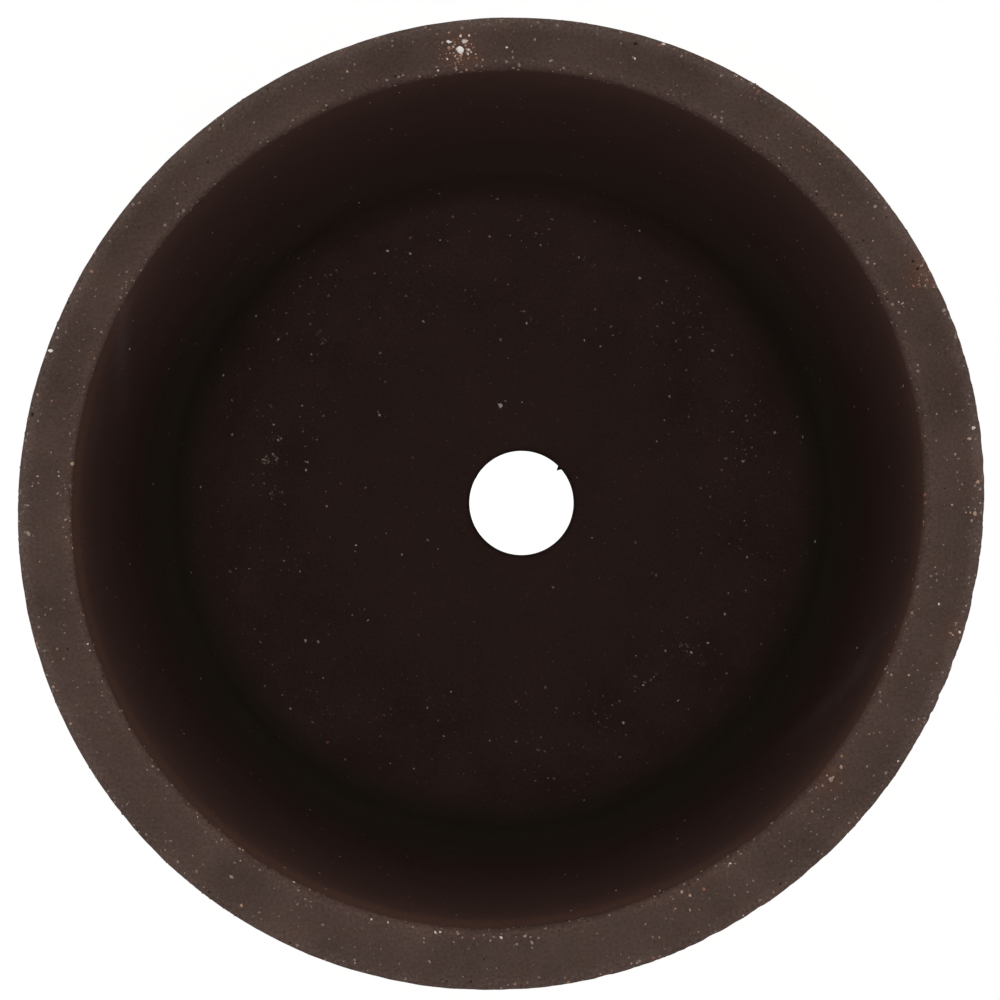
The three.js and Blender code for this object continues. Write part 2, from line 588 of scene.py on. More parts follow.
@dataclass
class ClayBody:
    """The pot's one piece of fired clay.

    Lengths are millimetres and bearings are degrees from +X towards +Y, as in the frame it replaces.
    """

    # The turned shape, which is the frame's own
    height: float
    rim_diameter: float = 200.0
    base_diameter: float = 177.4
    wall: float = 12.4
    floor: float = 14.0
    out_of_round: float = 5.0
    long_bearing: float = 52.6
    mouth_offset: float = 1.2
    mouth_bearing: float = 113.0
    hole_diameter: float = 26.0
    hole_offset: float = 5.2
    outer_arris: float = 1.4
    inner_arris: float = 2.2
    base_edge: float = 3.0
    floor_corner: float = 24.0
    hole_edge: float = 1.5
    # How finely the skin is drawn, and how far under the frame's faces it lies
    columns: int = 900
    shoulder: float = 3.5
    skin: float = 0.06
    # Handwork and wear of the skin
    handwork: float = 0.08
    handwork_size: float = 42.0
    ripple: float = 0.05
    ripple_size: float = 4.5
    worn_depth: float = 0.7
    worn_reach: float = 9.0
    worn_margin: float = 2.0
    worn_bearing: float = -130.0
    nicked_bearing: float = -30.0
    outer_nick: float = 0.75
    inner_nick: float = 0.25
    nick_sizes: tuple[float, float, float] = (1.3, 2.8, 11.0)
    nick_cap: float = 0.55
    nick_reach: float = 2.4
    burr_bearing: float = 43.0
    burr_turn: float = 3.0
    burr_height: float = 1.2
    bore_lump: float = 2.2
    bore_depth: float = 0.22
    # Strengths of the tints, as shares of the full colour, and where they lie
    ragged_size: float = 4.0
    raggedness: float = 0.8
    # Painted light: how much of the near side's upper inner wall takes the lighter outer colour, and how
    # fast that fades downwards
    lip_light_share: float = 0.65
    lip_light_fade: float = 6.5
    spot_stain: float = 0.25
    # Painted light: a lit crescent on the near side of the hole's bore
    bore_painted_light: float = 0.4
    # Painted light: a lighter reddish band under the near lip, its drop below the rim and its reach
    lip_band_light: float = 0.16
    lip_band_drop: float = 6.0
    lip_band_reach: float = 4.0
    thumbed: float = 0.22
    lifted: float = 0.12
    rubbed: float = 0.3
    # Painted shade: its strength in the floor's corner and in a band of the inner wall, and where they lie
    corner_shade: float = 0.25
    corner_band: Band = (8.0, 14.0, 15.0, 24.0)
    wall_shade: float = 0.24
    wall_band: Band = (44.0, 60.0, 80.0, 104.0)
    gritty_ring: Band = (40.0, 54.0, 70.0, 79.0)
    finish: FiredClay = FiredClay()
    piece: Object | None = None

    def __post_init__(self) -> None:
        """Work out the radii and the wall's lean, and carry the section round."""
        self.rim_radius = self.rim_diameter / 2
        self.base_radius = self.base_diameter / 2
        self.hole_radius = self.hole_diameter / 2
        self.inner_rim = self.rim_radius - self.wall
        self.lean = math.atan2(self.rim_radius - self.base_radius, self.height)
        self.bearings = np.arange(self.columns) * 2 * math.pi / self.columns
        self.points, self.zones = self.section()
        self.grid, self.normals = self.sweep()

    @staticmethod
    def arc(x: float, z: float, radius: float, start: float, end: float, steps: int) -> np.ndarray:
        """Give points along an arc of the section, without its last one.

        Args:
            x: The centre's distance from the axis.
            z: The centre's height.
            radius: The arc's radius.
            start: Angle of the first point, in radians.
            end: Angle that the arc stops short of.
            steps: How many points.

        Returns:
            Radius and height of each point.
        """
        angles = np.linspace(start, end, steps, endpoint=False)
        return np.stack([x + radius * np.cos(angles), z + radius * np.sin(angles)], axis=1)

    @staticmethod
    def run(start: np.ndarray, end: np.ndarray, steps: int) -> np.ndarray:
        """Give points along a straight stretch of the section, without its last one.

        Args:
            start: Radius and height of the first point.
            end: Radius and height of the point that the stretch stops short of.
            steps: How many points.

        Returns:
            Radius and height of each point.
        """
        return start + (end - start) * np.linspace(0, 1, steps, endpoint=False)[:, None]

    def section(self) -> tuple[np.ndarray, list[Zone]]:
        """Trace the clay's section once round, from the hole's lower edge out under the base.

        Returns:
            Radius and height of each point, and the zone that each lies in.
        """
        sine, cosine = math.sin(self.lean), math.cos(self.lean)
        quarter = math.pi / 2
        top = self.height
        flare = self.hole_radius + self.hole_edge
        base_x = self.base_radius - self.base_edge * (1 - sine) / cosine
        outer_x = self.base_radius + ((top - self.outer_arris) * sine - self.outer_arris) / cosine
        inner_x = self.inner_rim + self.inner_arris * (1 - sine) / cosine
        inner_z = top - self.inner_arris
        corner_z = self.floor + self.floor_corner
        corner_x = self.inner_rim + ((corner_z - top) * sine - self.floor_corner) / cosine
        foot = self.arc(base_x, self.base_edge, self.base_edge, -quarter, -self.lean, 5)
        outer = self.arc(outer_x, top - self.outer_arris, self.outer_arris, -self.lean, quarter, 8)
        inner = self.arc(inner_x, inner_z, self.inner_arris, quarter, 2 * quarter - self.lean, 10)
        corner = self.arc(corner_x, corner_z, self.floor_corner, -self.lean, -quarter, 14)
        hole_top = self.arc(flare, self.floor - self.hole_edge, self.hole_edge, quarter, 2 * quarter, 7)
        hole_foot = self.arc(flare, self.hole_edge, self.hole_edge, 2 * quarter, 3 * quarter, 4)
        wall_foot = np.array([base_x + self.base_edge * cosine, self.base_edge * (1 - sine)])
        wall_top = np.array([inner_x - self.inner_arris * cosine, inner_z + self.inner_arris * sine])
        worn = (self.worn_reach + self.worn_margin) / (wall_top[1] - corner_z)
        worn_end = wall_top + (corner[0] - wall_top) * worn
        shoulder = outer[0] + (wall_foot - outer[0]) * self.shoulder / (outer[0, 1] - wall_foot[1])
        hole_start = np.array([self.hole_radius, self.floor - self.hole_edge])
        stretches = (
            (Zone.BASE, self.run(np.array([flare, 0.0]), foot[0], 2)),
            (Zone.BASE_EDGE, foot),
            (Zone.OUTER_WALL, self.run(wall_foot, shoulder, 7)),
            (Zone.OUTER_WALL, self.run(shoulder, outer[0], 5)),
            (Zone.OUTER_ARRIS, outer),
            (Zone.RIM, self.run(np.array([outer_x, top]), inner[0], 10)),
            (Zone.INNER_ARRIS, inner),
            (Zone.INNER_WALL, self.run(wall_top, worn_end, 8)),
            (Zone.INNER_WALL, self.run(worn_end, corner[0], 16)),
            (Zone.FLOOR_CORNER, corner),
            (Zone.FLOOR, self.run(np.array([corner_x, self.floor]), hole_top[0], 8)),
            (Zone.HOLE, hole_top),
            (Zone.HOLE, self.run(hole_start, hole_foot[0], 4)),
            (Zone.HOLE, hole_foot),
        )
        points = np.vstack([stretch for _, stretch in stretches])
        zones = [zone for zone, stretch in stretches for _ in stretch]
        return points, zones

    def rows(self, *zones: Zone) -> np.ndarray:
        """Say which rows of the grid lie in any of some zones, as a column of True and False."""
        return np.array([zone in zones for zone in self.zones])[:, None]

    def sweep(self) -> tuple[np.ndarray, np.ndarray]:
        """Carry the section round the axis, oval at the rim and closing on the off-centre hole.

        Returns:
            Position and outward normal of each grid point, in millimetres.
        """
        radius, height = self.points[:, :1], self.points[:, 1:]
        level = self.rows(Zone.BASE, Zone.FLOOR, Zone.HOLE)
        flare = self.hole_radius + self.hole_edge
        floor_edge = self.points[self.zones.index(Zone.FLOOR), 0]
        towards_hole = level * smooth_step(floor_edge, flare, radius)
        rise = np.clip((height - self.floor) / (self.height - self.floor), 0, 1)
        hollow = self.rows(Zone.INNER_ARRIS, Zone.INNER_WALL, Zone.FLOOR_CORNER) * rise
        across = self.rim_radius - self.outer_arris - radius
        hollow = np.where(self.rows(Zone.RIM), smooth_step(0, self.wall - self.inner_arris, across), hollow)
        swell = self.out_of_round / 2 / self.rim_diameter * height / self.height
        bearings = self.bearings
        reach = radius * (1 + swell * np.cos(2 * (bearings - math.radians(self.long_bearing))))
        aside = self.mouth_offset * hollow
        lean = math.radians(self.mouth_bearing)
        x = reach * np.cos(bearings) + self.hole_offset * towards_hole + aside * math.cos(lean)
        y = reach * np.sin(bearings) + aside * math.sin(lean)
        grid = np.stack([x, y, np.broadcast_to(height, x.shape)], axis=2)
        along = np.roll(self.points, -1, axis=0) - np.roll(self.points, 1, axis=0)
        along /= np.linalg.norm(along, axis=1, keepdims=True)
        out, up = along[:, 1:], -along[:, :1]
        sides = [out * np.cos(bearings), out * np.sin(bearings), np.broadcast_to(up, x.shape)]
        return grid, np.stack(sides, axis=2)

    def build(self) -> Object:
        """Make the skin as one closed band of quads, and paint its masks.

        Returns:
            The pot's mesh object.
        """
        self.grid = self.grid + self.normals * self.wear()[:, :, None]
        mesh = bpy.data.meshes.new("pot_skin")
        mesh.from_pydata((self.grid * MM).reshape(-1, 3).tolist(), [], self.quads())
        mesh.update()
        mesh.shade_smooth()
        self.unwrap(mesh)
        self.paint(mesh)
        self.piece = set_in_scene("pot_skin", mesh)
        return self.piece

    def corners(self) -> list[tuple[np.ndarray, np.ndarray]]:
        """Give the rows and columns of the quads' four corners, which run on past the last ones."""
        row, column = np.meshgrid(np.arange(len(self.points)), np.arange(self.columns), indexing="ij")
        return [(row, column), (row, column + 1), (row + 1, column + 1), (row + 1, column)]

    def quads(self) -> list[list[int]]:
        """Join the grid's points into quads that face out, round both ways, by their numbers."""
        numbers = [r % len(self.points) * self.columns + c % self.columns for r, c in self.corners()]
        return np.stack(numbers, axis=-1).reshape(-1, 4).tolist()

    def wear(self) -> np.ndarray:
        """Say how far each grid point moves along its normal: handwork, worn edges, chips and burr.

        Returns:
            The move of each grid point, in millimetres, which is mostly inwards.
        """
        move = -self.skin - self.handwork * (1 - lumps(self.grid, self.handwork_size, seed=3.1))
        close = self.rows(*RIM_ZONES, *FLOOR_ZONES)
        move = move - close * self.ripple * (1 - lumps(self.grid, self.ripple_size, seed=7.7))
        move = move * ~self.rows(Zone.BASE, Zone.BASE_EDGE)
        return move + self.worn_edge() + self.chips() + self.burr()

    def turn_from(self, bearing: float) -> np.ndarray:
        """Give the angle in radians from a bearing in degrees to each column."""
        return np.angle(np.exp(1j * (self.bearings - math.radians(bearing))))

    def worn_side(self) -> np.ndarray:
        """Give each bearing's share of the wear, 1 where hands lift the pot and 0 across from it."""
        return smooth_step(-0.6, 0.8, np.cos(self.bearings - math.radians(self.worn_bearing)))

    def worn_edge(self) -> np.ndarray:
        """Wear the mouth's edge softer on one side, where hands have lifted the pot.

        Returns:
            The move of each grid point along its normal, in millimetres.
        """
        top, reach = self.height - self.inner_arris, self.worn_reach
        below = np.clip(1 - (top - self.points[:, 1:]) / reach, 0, 1) ** 2
        arris = np.clip((self.height - self.points[:, 1:]) / self.inner_arris, 0, 1)
        depth = np.where(self.rows(Zone.INNER_ARRIS), arris, self.rows(Zone.INNER_WALL) * below)
        return -self.worn_depth * depth * self.worn_side()

    def chips(self) -> np.ndarray:
        """Nick the rim's two arrises, most on the outer one at the lower right of the camera's view.

        Returns:
            The move of each grid point along its normal, in millimetres.
        """
        nicked = 0.2 + 0.8 * smooth_step(0.35, 0.9, np.cos(self.turn_from(self.nicked_bearing)))
        move = np.zeros(self.grid.shape[:2])
        edges = ((Zone.OUTER_ARRIS, self.outer_nick, nicked), (Zone.INNER_ARRIS, self.inner_nick, 1.0))
        for zone, depth, side in edges:
            rows = np.flatnonzero(self.rows(zone))
            edge = rows[0] if zone is Zone.OUTER_ARRIS else rows[len(rows) // 2]
            ring = self.grid[edge]
            fine, coarse, patchy = (lumps(ring, size, seed=1.3 * size) for size in self.nick_sizes)
            nicks = np.minimum(0.7 * np.clip(fine, 0, 1) + 0.7 * np.clip(coarse, 0, 1), self.nick_cap)
            nicks = nicks * (0.5 + 0.6 * np.clip(0.2 + 1.5 * patchy, 0, 1))
            along = np.linalg.norm(self.points - self.points[edge], axis=1)[:, None]
            move -= depth * np.clip(1 - along / self.nick_reach, 0, 1) * nicks * side
        return move

    def burr(self) -> np.ndarray:
        """Leave the small torn burr on the hole's upper right edge, and a slightly ragged bore.

        Returns:
            The move of each grid point along its normal, in millimetres.
        """
        drop = self.floor - self.points[:, 1:]
        upper = self.rows(Zone.HOLE) * smooth_step(8.0, 2.0, drop) * np.clip(drop / self.hole_edge, 0, 1)
        away = np.abs(self.turn_from(self.burr_bearing))
        tooth = np.clip(1 - away / math.radians(self.burr_turn), 0, 1)
        ring = np.stack([np.cos(self.bearings), np.sin(self.bearings), 0 * self.bearings], axis=1)
        ragged = lumps(ring * self.hole_radius, self.bore_lump, seed=5.5)
        return upper * (self.burr_height * tooth + self.bore_depth * ragged)

    def settle(self, x: float, y: float, zones: tuple[Zone, ...]) -> tuple[np.ndarray, np.ndarray]:
        """Find the skin's point straight below a place, in some zones that face up.

        Args:
            x: Millimetres to the right of the axis.
            y: Millimetres above the axis, as seen from over the pot.
            zones: The zones to look in.

        Returns:
            The point and its normal.
        """
        rows = np.flatnonzero(self.rows(*zones))
        away = np.hypot(self.grid[rows, :, 0] - x, self.grid[rows, :, 1] - y)
        row, column = np.unravel_index(away.argmin(), away.shape)
        point, normal = self.grid[rows[row], column], self.normals[rows[row], column]
        # On a steep face or beside the clay, the nearest point of the grid has to do
        if normal[2] < 0.3 or away.min() > 1:
            return point, normal
        fall = (normal[0] * (x - point[0]) + normal[1] * (y - point[1])) / normal[2]
        return np.array([x, y, point[2] - fall]), normal

    def unwrap(self, mesh: Mesh) -> None:
        """Lay the skin out flat as one sheet: bearings across, the section upwards.

        Args:
            mesh: The skin's mesh, with its quads in the order of quads().
        """
        lengths = np.linalg.norm(np.roll(self.points, -1, axis=0) - self.points, axis=1)
        share = np.append(0, np.cumsum(lengths)) / lengths.sum()
        places = [np.stack([c / self.columns, share[r]], axis=-1) for r, c in self.corners()]
        layer = mesh.uv_layers.new(name="OFBake")
        layer.uv.foreach_set("vector", np.stack(places, axis=2).astype(np.float32).ravel())

    def from_edge(self, zone: Zone) -> np.ndarray:
        """Give each grid point's distance from the middle of an arris."""
        rows = np.flatnonzero(self.rows(zone))
        return np.linalg.norm(self.grid - self.grid[rows[len(rows) // 2]][None], axis=2)

    def grit(self, from_edge: np.ndarray) -> np.ndarray:
        """Say how gritty the skin is: most at the rim's edges, and less where it was smoothed.

        Args:
            from_edge: Distance of each grid point from the nearer arris of the rim.

        Returns:
            The grit at each grid point, where 1 is the flat of the rim.
        """
        from_axis = np.hypot(self.grid[:, :, 0], self.grid[:, :, 1])
        ring = 0.62 + 0.22 * band(self.gritty_ring, from_axis)
        return np.select(
            [self.rows(*RIM_ZONES), self.rows(*FLOOR_ZONES), self.rows(Zone.INNER_WALL)],
            [1 + 0.5 * smooth_step(3, 1, from_edge), ring, 0.55 + 0 * ring],
            0.75,
        )

    def rust_and_light(self, ragged: np.ndarray, near_side: np.ndarray) -> np.ndarray:
        """Stain the rim with rust spots, and paint light below the near lip and in the near bore.

        Args:
            ragged: Noise that breaks up the spots.
            near_side: Each bearing's share of the near side.

        Returns:
            The rust and painted light at each grid point, from 0 to about 0.5.
        """
        x, y, z = np.moveaxis(self.grid, 2, 0)
        spots = sum(np.exp(-((x - p.x) ** 2 + (y - p.y) ** 2) / p.size**2) for p in STAINS)
        rust_and_painted_light = self.spot_stain * self.rows(*RIM_ZONES) * spots * (0.8 + 0.6 * ragged)
        # Painted light: a lit crescent on the near side of the hole's bore
        bore = self.rows(Zone.HOLE) * smooth_step(-0.5, -1.2, self.points[:, 1:] - self.floor)
        rust_and_painted_light = rust_and_painted_light + self.bore_painted_light * bore * smooth_step(0.6, 0.95, -np.sin(self.bearings))
        # Painted light: a lighter reddish band just under the near lip
        below_lip = np.exp(-(((self.height - self.lip_band_drop - z) / self.lip_band_reach) ** 2))
        lip_light = self.rows(Zone.INNER_WALL, Zone.INNER_ARRIS) * near_side
        return rust_and_painted_light + self.lip_band_light * lip_light * below_lip

    def paint_sheen(self, ragged: np.ndarray) -> np.ndarray:
        """Paint pale smears of sheen on the inner wall.

        Args:
            ragged: Noise that breaks up the smears.

        Returns:
            The painted sheen at each grid point, from 0 to about 0.4.
        """
        dusty = np.zeros(self.grid.shape[:2])
        for smear in SHEEN_SMEARS:
            along = self.turn_from(smear.bearing) * self.inner_rim
            off = (self.grid[:, :, 2] - smear.height - smear.slope * along) / smear.width
            dusty = dusty + smear.strength * np.exp(-((along / smear.length) ** 2) - off**2)
        return self.rows(Zone.INNER_WALL) * dusty * (0.8 + 0.5 * ragged)

    def paint(self, mesh: Mesh) -> None:
        """Paint the masks for the clay's tone, its grit, and its painted light and shade.

        Args:
            mesh: The skin's mesh.
        """
        ragged = lumps(self.grid, self.ragged_size, seed=2.2)
        edges = (Zone.OUTER_ARRIS, Zone.INNER_ARRIS)
        outer, inner = (self.from_edge(zone) + self.raggedness * ragged for zone in edges)
        north = np.sin(self.bearings)
        near_side = smooth_step(0.9, -0.1, north)
        nearest = smooth_step(0.2, 0.9, -north)
        # Painted light: the painted shade is weaker on the far side's lower inner wall, lighter where light
        # falls on it
        painted_shade_by_side = 1 - 0.6 * smooth_step(0.3, 0.95, north)
        sheltered = self.rows(Zone.INNER_WALL, Zone.FLOOR_CORNER, Zone.FLOOR, Zone.HOLE)
        arris = np.clip((self.height - self.points[:, 1:]) / self.inner_arris, 0, 1)
        # Painted light: the near side's upper inner wall keeps more of the lighter outer colour
        lip_light = np.exp((self.points[:, 1:] - self.height) / self.lip_light_fade) * (0.3 + 0.7 * arris)
        arris = arris + nearest * (np.sqrt(1 - (1 - arris) ** 2) - arris)
        inside = np.where(self.rows(Zone.INNER_ARRIS), arris, sheltered)
        inside = inside * (1 - self.lip_light_share * near_side * lip_light)
        thumbed = self.thumbed * smooth_step(3.0, 0.8, inner) + self.lifted * self.worn_side()
        rise = np.broadcast_to(self.points[:, 1:] - self.floor, self.grid.shape[:2])
        in_corner = self.rows(Zone.FLOOR_CORNER) * band(self.corner_band, rise)
        above = self.rows(Zone.INNER_WALL) * band(self.wall_band, rise)
        masks = {
            "inside": inside,
            # Painted light and shade: the lower inside's tone, fading out 60 to 100 mm above the floor
            "foot": sheltered * smooth_step(100, 60, rise) * painted_shade_by_side,
            "floor": sheltered * smooth_step(18, 7, rise),
            # Painted shade in the floor's corner and in a band of the inner wall
            "corner": self.corner_shade * in_corner + self.wall_shade * above * painted_shade_by_side,
            "handled": self.rows(*RIM_ZONES) * thumbed * (1 - inside),
            "rubbed": self.rubbed * (1 - 0.6 * nearest) * smooth_step(3.0, 0.6, outer),
            # Rust spots, and painted light under the near lip and in the near bore
            "rust_and_painted_light": self.rust_and_light(ragged, near_side),
            # Painted sheen on the upper inner wall
            "dusty": self.paint_sheen(ragged),
            "gritty": self.grit(np.minimum(outer, inner)),
        }
        for name, mask in masks.items():
            layer = mesh.attributes.new(name, "FLOAT", "POINT")
            layer.data.foreach_set("value", np.maximum(mask, 0).astype(np.float32).ravel())

    def dress(self) -> None:
        """Give the skin its clay and set it in the frame."""
        self.piece.data.materials.append(self.finish.material())
        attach(self.piece, BODY)
        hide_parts(NODE)


@dataclass(frozen=True)
class GrogFinish:
    """Crushed fired grains: dry, mostly paler than the clay and a little uneven in tone."""

    roughness: float = 0.88
    specular: float = 0.05
    mottle: float = 0.35
    darkest: float = 0.6

    def material(self, grog: Grog) -> Material:
        """Build the shader of one kind of grain.

        Args:
            grog: The kind of grain.

        Returns:
            The material.
        """
        # As dry as the clay and mostly paler: the eye gets small matt dots that are a little uneven
        made = bpy.data.materials.new(f"{grog.name.lower()}_grog")
        add = partial(add_node, bare_tree(made))
        place = add("ShaderNodeTexCoord").outputs["Object"]
        fine = {"Vector": place, "Scale": 1 / (self.mottle * MM)}
        mottle = add("ShaderNodeTexNoise", fine).outputs["Fac"]
        full = linear(grog.value)
        dark = (*(self.darkest * c for c in full[:3]), 1.0)
        colour = add("ShaderNodeMix", {0: mottle, 6: dark, 7: full}, data_type="RGBA").outputs[2]
        shader = add(
            "ShaderNodeBsdfPrincipled",
            {"Base Color": colour, "Roughness": self.roughness, "Specular IOR Level": self.specular},
        )
        add("ShaderNodeOutputMaterial", {"Surface": shader.outputs["BSDF"]})
        return made


@dataclass
class GrogGrains:
    """The coarser grains of grog that show in the skin, each a small lump sunk in the clay."""

    body: ClayBody
    seed: int = 20
    width: float = 0.34
    largest: float = 0.65
    floor_width: float = 0.54
    floor_largest: float = 0.9
    spread: float = 0.5
    patch_size: float = 14.0
    thick_ring: Band = (40.0, 54.0, 70.0, 80.0)
    lumpiness: float = 0.22
    stretch: tuple[float, float, float] = (1.2, 0.95, 0.75)
    flattened: float = 0.5
    sunk: float = 0.08
    margin: float = 0.02
    shares: tuple[float, ...] = (0.64, 0.17, 0.04, 0.0, 0.1, 0.05)
    floor_shares: tuple[float, ...] = (0.38, 0.24, 0.23, 0.03, 0.08, 0.04)
    finish: GrogFinish = GrogFinish()
    piece: Object | None = None

    def __post_init__(self) -> None:
        """Start the list of grains, and the seeded draw that scatters them."""
        self.draw = np.random.default_rng(self.seed)
        self.grains: list[Grain] = []

    def pick_width(self, middle: float) -> float:
        """Draw the width of a grain, from sizes that spread about a middle one."""
        return middle * math.exp(self.spread * self.draw.standard_normal())

    def scatter(self, zone: Zone, count: int) -> None:
        """Strew grains over one zone, thicker in patches, and on the floor in its outer ring.

        Args:
            zone: The zone.
            count: How many grains.
        """
        body, draw = self.body, self.draw
        rows = np.flatnonzero(body.rows(zone))
        a = body.grid[rows]
        b = np.roll(a, -1, axis=1)
        d = body.grid[(rows + 1) % len(body.grid)]
        c = np.roll(d, -1, axis=1)
        area = np.linalg.norm(np.cross(b - a, d - a), axis=2)
        thick = np.clip(0.5 + 1.3 * lumps(a, self.patch_size, seed=9.4), 0.1, 2.0)
        shares, middle, largest = self.shares, self.width, self.largest
        if zone in FLOOR_ZONES:
            from_axis = np.hypot(a[:, :, 0], a[:, :, 1])
            thick = thick * (0.25 + band(self.thick_ring, from_axis))
            shares, middle, largest = self.floor_shares, self.floor_width, self.floor_largest
        chance = (area * thick).ravel()
        kinds = list(Grog)
        for spot in draw.choice(chance.size, count, p=chance / chance.sum()):
            row, column = np.unravel_index(spot, area.shape)
            u, v = draw.random(2)
            near = a[row, column] * (1 - u) + b[row, column] * u
            far = d[row, column] * (1 - u) + c[row, column] * u
            width = min(self.pick_width(middle), largest)
            grog = kinds[draw.choice(len(kinds), p=shares)]
            facing = body.normals[rows[row], column]
            self.grains.append(Grain(near * (1 - v) + far * v, facing, width, grog))

    def gather(self) -> None:
        """Place every grain: the strewn ones, the clusters and the ones that the eye picks out."""
        settle = self.body.settle
        for zone, count in STREWN.items():
            self.scatter(zone, count)
        groups = ((FLOOR_CLUSTERS, FLOOR_ZONES, self.floor_width), (RIM_CLUSTERS, RIM_ZONES, self.width))
        for clusters, zones, middle in groups:
            for cluster in (cluster for cluster in clusters for _ in range(cluster.count)):
                x, y = self.draw.normal((cluster.x, cluster.y), cluster.spread)
                width = min(self.pick_width(middle), self.floor_largest)
                self.grains.append(Grain(*settle(x, y, zones), width, cluster.grog))
        for marks, zones in ((RIM_MARKS, RIM_ZONES), (FLOOR_MARKS, FLOOR_ZONES)):
            self.grains += [Grain(*settle(m.x, m.y, zones), m.size, m.grog) for m in marks]

    def build(self) -> Object:
        """Make all the grains as one mesh.

        Returns:
            The grains' mesh object.
        """
        self.gather()
        lump = bmesh.new()
        bmesh.ops.create_icosphere(lump, subdivisions=1, radius=0.5)
        shape = np.array([vertex.co[:] for vertex in lump.verts])
        faces = np.array([[vertex.index for vertex in face.verts] for face in lump.faces])
        lump.free()
        vertices, corners = [], []
        for number, grain in enumerate(self.grains):
            normal, width = grain.facing, grain.width
            jitter = shape * (1 + self.lumpiness * self.draw.standard_normal((len(shape), 1)))
            jitter = jitter * self.stretch
            turned = jitter @ np.linalg.qr(self.draw.standard_normal((3, 3)))[0].T
            squashed = turned - self.flattened * np.outer(turned @ normal, normal)
            vertices.append(grain.place - self.sunk * width * normal + width * squashed)
            corners.append(faces + number * len(shape))
        points = np.vstack(vertices)
        skin = self.body.grid[:, :, :2]
        points[:, :2] = np.clip(points[:, :2], skin.min(axis=(0, 1)), skin.max(axis=(0, 1)))
        points[:, 2] = np.clip(points[:, 2], self.margin, self.body.height - self.margin)
        mesh = bpy.data.meshes.new("grog_grains")
        mesh.from_pydata((points * MM).tolist(), [], np.vstack(corners).tolist())
        order = list(Grog)
        slots = np.repeat([order.index(grain.grog) for grain in self.grains], len(faces))
        mesh.polygons.foreach_set("material_index", slots.astype(np.int32))
        mesh.update()
        mesh.shade_smooth()
        self.piece = set_in_scene("grog_grains", mesh)
        return self.piece

    def dress(self) -> None:
        """Give each kind of grain its finish and set the grains in the frame."""
        for grog in Grog:
            self.piece.data.materials.append(self.finish.material(grog))
        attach(self.piece, BODY)


@dataclass(frozen=True)
class Lamp:
    """A round soft lamp, hung overhead or over the near side at an elevation in degrees."""

    name: str
    elevation: float
    size: float
    watts: float


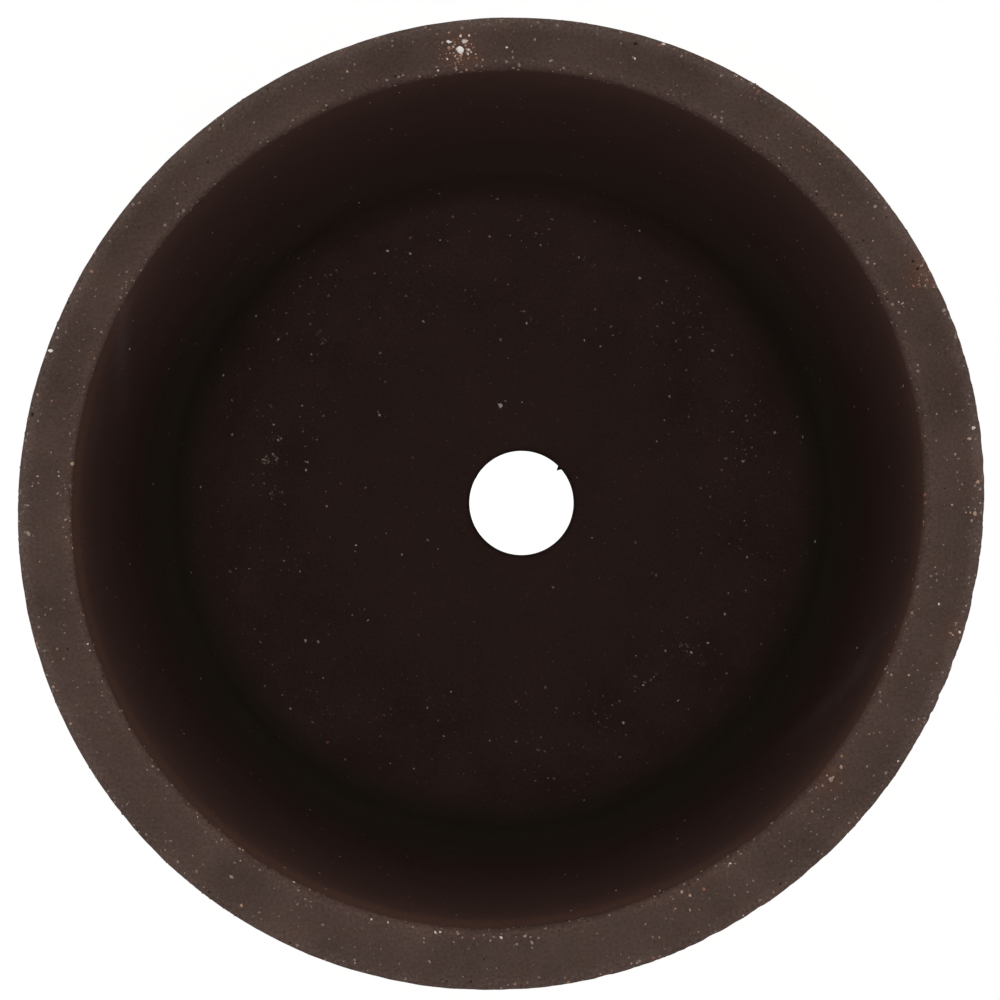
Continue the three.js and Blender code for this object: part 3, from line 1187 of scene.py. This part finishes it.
@dataclass
class Studio:
    """A white floor, a soft sky with two lamps in it, and a camera straight above the pot."""

    rim_height: float
    rim_centre: tuple[float, float] = (501.1, 503.7)  # across and down, in pixels of the picture
    pixels: int = 1000
    pixels_per_mm: float = 4.868
    camera_distance: float = 827.0
    camera_reach: float = 20000.0
    sensor: float = 36.0
    floor_size: float = 8000.0
    floor_drop: float = 0.2
    floor_colour: str = "#F4F4F2"
    floor_glow: float = 1.09
    shadow_share: float = 0.22
    under_pot: float = 80.0
    sky: tuple[tuple[float, float], ...] = (
        (0, 1.75),
        (0.17, 1.25),
        (0.32, 0.7),
        (0.42, 0.3),
        (0.6, 0.39),
        (0.7, 0.98),
        (0.87, 1.29),
        (1, 1.28),
    )
    sky_full: float = 2.0  # the light where the sky's ramp is white
    sky_lean: tuple[float, float, float] = (0.12, 0.52, 0.0)
    lamp_distance: float = 2400.0
    lamps: tuple[Lamp, ...] = (
        Lamp("overhead_lamp", 90.0, 1100.0, 1.2),
        Lamp("near_lamp", 49.0, 760.0, 6.3),
    )

    def build(self) -> None:
        """Set up the floor, the light and the camera."""
        self.set_camera()
        self.lay_floor()
        self.hang_sky()
        self.hang_lamps()
        bpy.context.scene.view_settings.view_transform = "Standard"

    def set_camera(self) -> None:
        """Place the camera over the rim, so that the rim fills the picture."""
        view = self.pixels / self.pixels_per_mm
        aside = (self.rim_centre[0] - self.pixels / 2) / self.pixels_per_mm
        below = (self.rim_centre[1] - self.pixels / 2) / self.pixels_per_mm
        data = bpy.data.cameras.new("overhead_camera")
        data.sensor_width = self.sensor
        data.lens = self.sensor * self.camera_distance / view
        data.clip_end = self.camera_reach * MM
        camera = set_in_scene("overhead_camera", data)
        camera.location = Vector((-aside, below, self.rim_height + self.camera_distance)) * MM
        bpy.context.scene.camera = camera

    @staticmethod
    def to_the_eye(tree: NodeTree) -> NodeSocket:
        """Tell the rays that show the background itself from the rays that light the pot.

        Args:
            tree: The tree of the floor's material or of the sky.

        Returns:
            1 for the rays that show it, seen straight or in a shine, and 0 for the others.
        """
        path = add_node(tree, "ShaderNodeLightPath")
        seen = path.outputs["Is Camera Ray"]
        for kind in ("Is Glossy Ray", "Is Transmission Ray"):
            either = {0: seen, 1: path.outputs[kind]}
            seen = add_node(tree, "ShaderNodeMath", either, operation="MAXIMUM").outputs[0]
        return seen

    def lay_floor(self) -> None:
        """Lay a plain white floor that keeps the pot's shadow and shows white under the hole."""
        half = self.floor_size * MM / 2
        mesh = bpy.data.meshes.new("studio_floor")
        corners = [(-half, -half, 0), (half, -half, 0), (half, half, 0), (-half, half, 0)]
        mesh.from_pydata(corners, [], [(0, 1, 2, 3)])
        mesh.materials.append(self.floor_material())
        floor = set_in_scene("studio_floor", mesh)
        floor.location.z = -self.floor_drop * MM

    def floor_material(self) -> Material:
        """Build the floor's white card: matt, with most of its white given straight to the eye.

        Returns:
            The material.
        """
        # Plain matt card: the eye gets an even white with a soft shadow on it
        made = bpy.data.materials.new("white_studio_card")
        tree = bare_tree(made)
        add = partial(add_node, tree)
        place = add("ShaderNodeTexCoord").outputs["Object"]
        out = add("ShaderNodeVectorMath", {0: place}, operation="LENGTH").outputs["Value"]
        covered = add("ShaderNodeMath", {0: out, 1: self.under_pot * MM}, operation="LESS_THAN").outputs[0]
        least = {0: covered, 1: 1 - self.shadow_share}
        share = add("ShaderNodeMath", least, operation="MAXIMUM").outputs[0]
        seen = add("ShaderNodeMath", {0: share, 1: self.to_the_eye(tree)}, operation="MULTIPLY").outputs[0]
        card = add("ShaderNodeBsdfDiffuse", {"Color": linear(self.floor_colour)})
        glow = add("ShaderNodeEmission", {"Color": (1, 1, 1, 1), "Strength": self.floor_glow})
        both = add("ShaderNodeMixShader", {0: seen, 1: card.outputs[0], 2: glow.outputs[0]})
        add("ShaderNodeOutputMaterial", {"Surface": both.outputs[0]})
        return made

    def hang_sky(self) -> None:
        """Hang a soft sky: white cards low down, a dim gap above them and a wide canopy overhead."""
        world = bpy.data.worlds.new("studio_sky")
        tree = bare_tree(world)
        add = partial(add_node, tree)
        way = add("ShaderNodeTexCoord").outputs["Generated"]
        rise = add("ShaderNodeSeparateXYZ", {0: way}).outputs["Z"]
        bands = add("ShaderNodeValToRGB", {0: rise})
        ramp = bands.color_ramp.elements
        for at, value in self.sky:
            stop = ramp[0] if at == 0 else ramp[-1] if at == 1 else ramp.new(at)
            grey = value / self.sky_full
            stop.color = (grey, grey, grey, 1)
        leaning = {0: way, 1: self.sky_lean}
        aside = add("ShaderNodeVectorMath", leaning, operation="DOT_PRODUCT").outputs["Value"]
        fade = add("ShaderNodeMath", {0: 1.0, 1: rise}, operation="SUBTRACT").outputs[0]
        aside = add("ShaderNodeMath", {0: aside, 1: fade}, operation="MULTIPLY").outputs[0]
        light = {0: bands.outputs["Color"], 1: self.sky_full, 2: aside}
        strength = add("ShaderNodeMath", light, operation="MULTIPLY_ADD").outputs[0]
        sky = add("ShaderNodeBackground", {"Color": (1, 1, 1, 1), "Strength": strength})
        white = add("ShaderNodeBackground", {"Color": (1, 1, 1, 1), "Strength": 1.0})
        seen = self.to_the_eye(tree)
        both = add("ShaderNodeMixShader", {0: seen, 1: sky.outputs[0], 2: white.outputs[0]})
        add("ShaderNodeOutputWorld", {"Surface": both.outputs[0]})
        bpy.context.scene.world = world

    def hang_lamps(self) -> None:
        """Hang the wide soft lamps, one straight above the pot and one over the near side."""
        for lamp in self.lamps:
            data = bpy.data.lights.new(lamp.name, "AREA")
            data.shape = "DISK"
            data.size = lamp.size * MM
            data.energy = lamp.watts
            hung = set_in_scene(lamp.name, data)
            angle = math.radians(lamp.elevation)
            hung.location = Vector((0, -math.cos(angle), math.sin(angle))) * self.lamp_distance * MM
            hung.rotation_euler.x = math.pi / 2 - angle
            hung.visible_camera = False


def main() -> None:
    """Build the pot, the grog in it and the studio, and report each piece."""
    logging.basicConfig(level=logging.INFO, format="%(name)s: %(message)s")
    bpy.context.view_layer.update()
    body = ClayBody(height=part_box(NODE)[1].z / MM)
    skin = body.build()
    body.dress()
    log.info("%s: %d quads", skin.name, len(skin.data.polygons))
    grains = GrogGrains(body)
    grog = grains.build()
    grains.dress()
    log.info("%s: %d grains", grog.name, len(grains.grains))
    Studio(rim_height=body.height).build()


if __name__ == "__main__":
    main()
